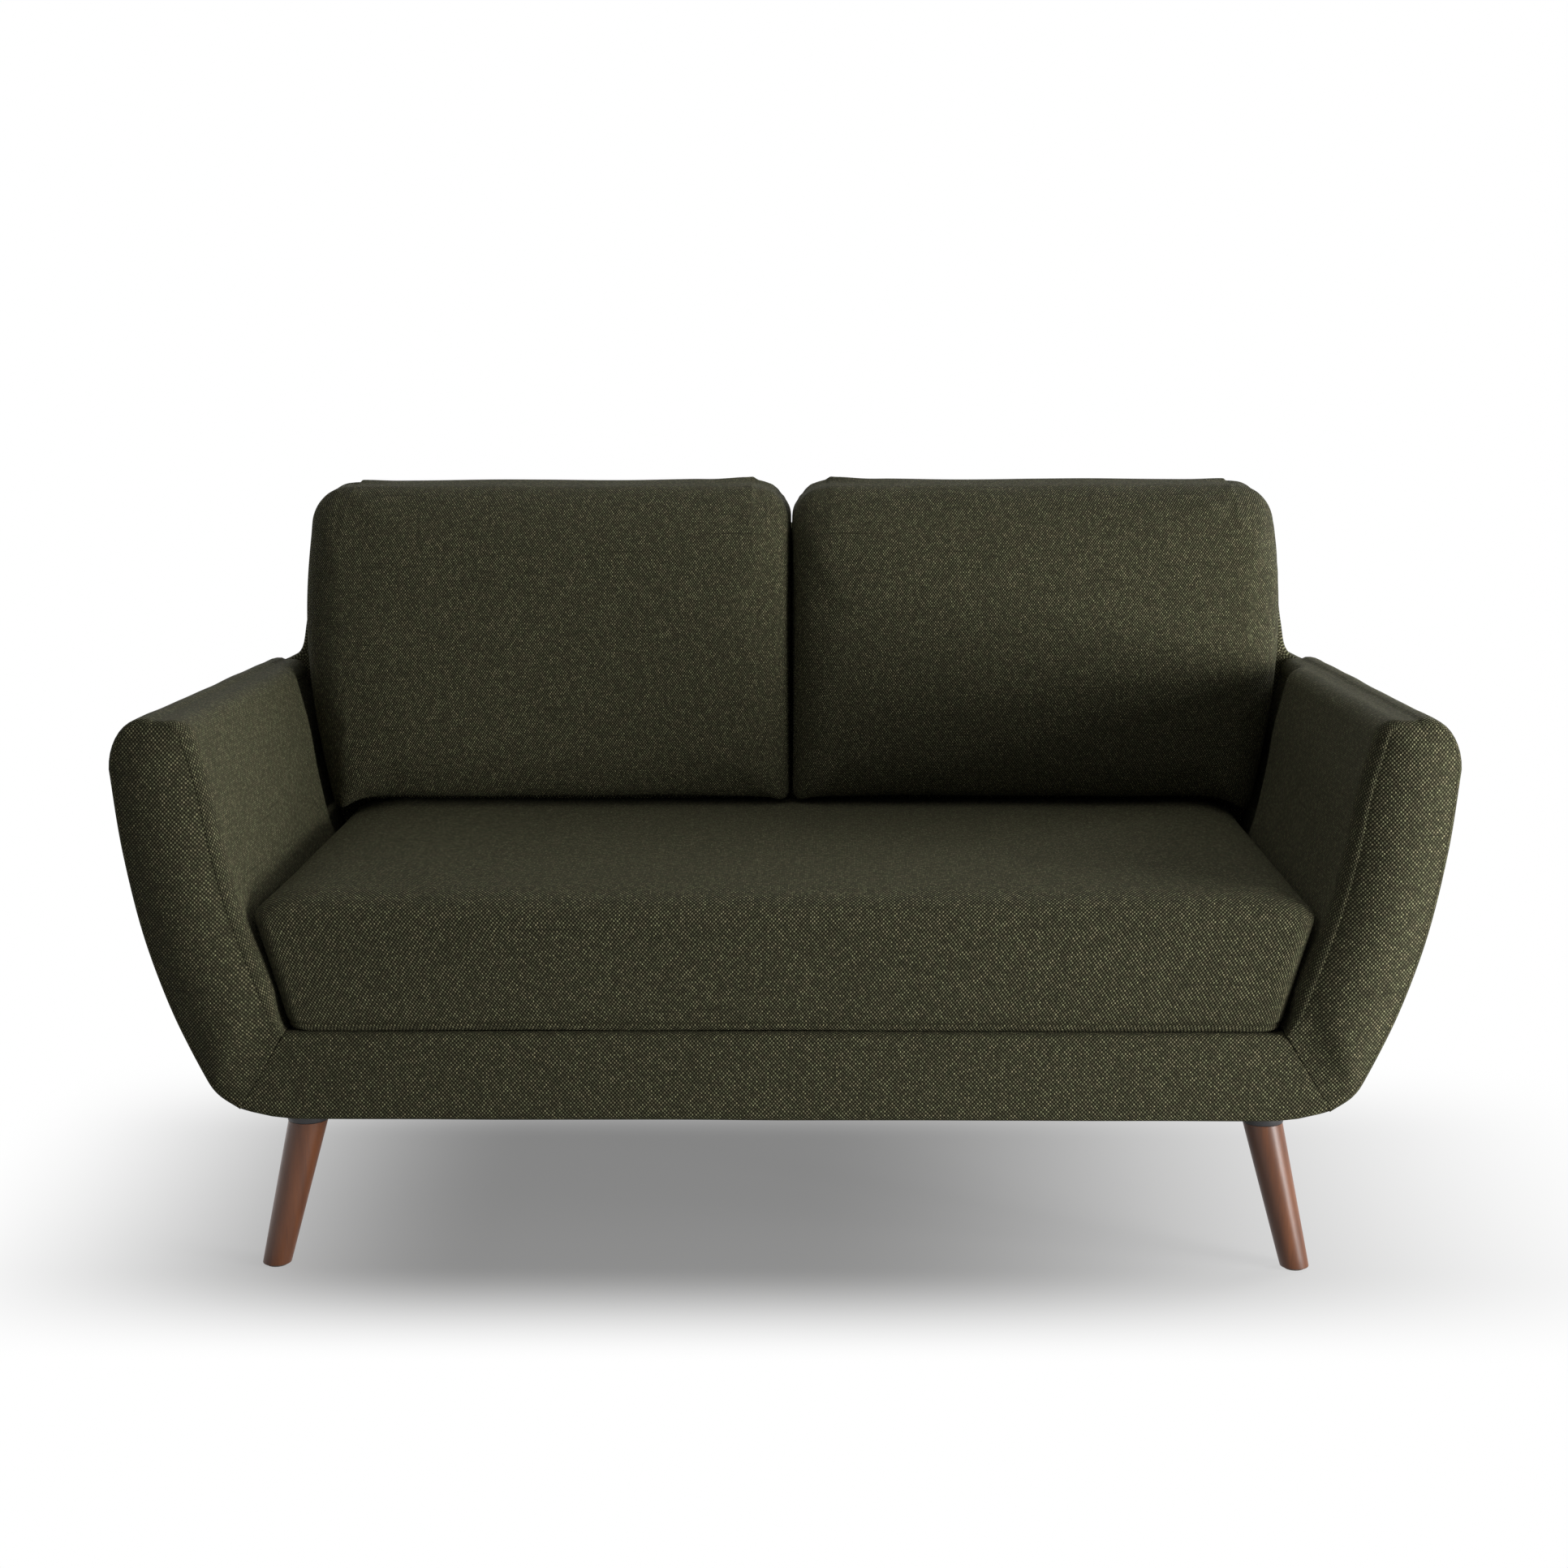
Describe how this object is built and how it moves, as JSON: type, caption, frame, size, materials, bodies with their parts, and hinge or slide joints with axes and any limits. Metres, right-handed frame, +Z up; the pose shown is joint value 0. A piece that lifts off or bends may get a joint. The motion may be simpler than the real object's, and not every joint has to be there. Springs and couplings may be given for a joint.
{
  "type": "settee",
  "caption": "Settee with flared padded arms, a reclined back, a bench seat cushion and loose back cushions in woven fabric, on splayed tapered wooden legs, for sitting side by side.",
  "frame": {"origin": "on the floor, at the middle of the settee's width and depth", "axes": "+X across the settee to the right as seen from the front, +Y from the front to the back, +Z up from the floor"},
  "size_m": [1.53, 0.82, 0.8828],
  "materials": {
    "olive_fabric": "matte",
    "lining_fabric": "matte",
    "webbing_cloth": "matte",
    "walnut_stain": "satin",
    "plain_timber": "matte",
    "plywood": "matte",
    "black_plastic": "satin",
    "felt_grey": "matte",
    "spring_steel": "satin",
    "zinc_steel": "satin"
  },
  "bodies": {
    "settee_frame": {"front_rail_cover": "olive_fabric", "arm_cover_left": "olive_fabric", "arm_cover_right": "olive_fabric", "back_cover": "olive_fabric", "seat_deck_pad": "lining_fabric", "dust_cover": "lining_fabric", "back_webbing": "webbing_cloth", "leg_front_left": "walnut_stain", "leg_front_right": "walnut_stain", "leg_rear_left": "walnut_stain", "leg_rear_right": "walnut_stain", "leg_collar_front_left": "black_plastic", "leg_collar_front_right": "black_plastic", "leg_collar_rear_left": "black_plastic", "leg_collar_rear_right": "black_plastic", "foot_glide_front_left": "felt_grey", "foot_glide_front_right": "felt_grey", "foot_glide_rear_left": "felt_grey", "foot_glide_rear_right": "felt_grey", "hanger_bolt_front_left": "zinc_steel", "hanger_bolt_front_right": "zinc_steel", "hanger_bolt_rear_left": "zinc_steel", "hanger_bolt_rear_right": "zinc_steel", "leg_block_front_left": "plain_timber", "leg_block_front_right": "plain_timber", "leg_block_rear_left": "plain_timber", "leg_block_rear_right": "plain_timber", "front_rail": "plain_timber", "rear_rail": "plain_timber", "side_rail_left": "plain_timber", "side_rail_right": "plain_timber", "centre_stretcher": "plain_timber", "arm_front_panel_left": "plywood", "arm_front_panel_right": "plywood", "arm_rear_panel_left": "plywood", "arm_rear_panel_right": "plywood", "arm_top_rail_left": "plain_timber", "arm_top_rail_right": "plain_timber", "arm_lower_rail_left": "plain_timber", "arm_lower_rail_right": "plain_timber", "back_top_rail": "plain_timber", "back_post_left": "plain_timber", "back_post_centre": "plain_timber", "back_post_right": "plain_timber", "spring_clip_strip_front": "zinc_steel", "spring_clip_strip_rear": "zinc_steel", "seat_spring_1": "spring_steel", "seat_spring_2": "spring_steel", "seat_spring_3": "spring_steel", "seat_spring_4": "spring_steel", "seat_spring_5": "spring_steel", "seat_spring_6": "spring_steel", "seat_spring_7": "spring_steel"},
    "loose_seat_cushion": {"seat_cushion": "olive_fabric"},
    "loose_back_cushion_left": {"back_cushion_left": "olive_fabric"},
    "loose_back_cushion_right": {"back_cushion_right": "olive_fabric"}
  },
  "joints": [
    {"name": "seat_cushion_pull", "type": "slide", "parent": "settee_frame", "child": "loose_seat_cushion", "axis": [0, -1, 0], "range_m": [0, 0.75]},
    {"name": "back_cushion_left_lift", "type": "slide", "parent": "settee_frame", "child": "loose_back_cushion_left", "axis": [0, 0.1736, 0.9848], "range_m": [0, 0.47]},
    {"name": "back_cushion_right_lift", "type": "slide", "parent": "settee_frame", "child": "loose_back_cushion_right", "axis": [0, 0.1736, 0.9848], "range_m": [0, 0.47]}
  ]
}
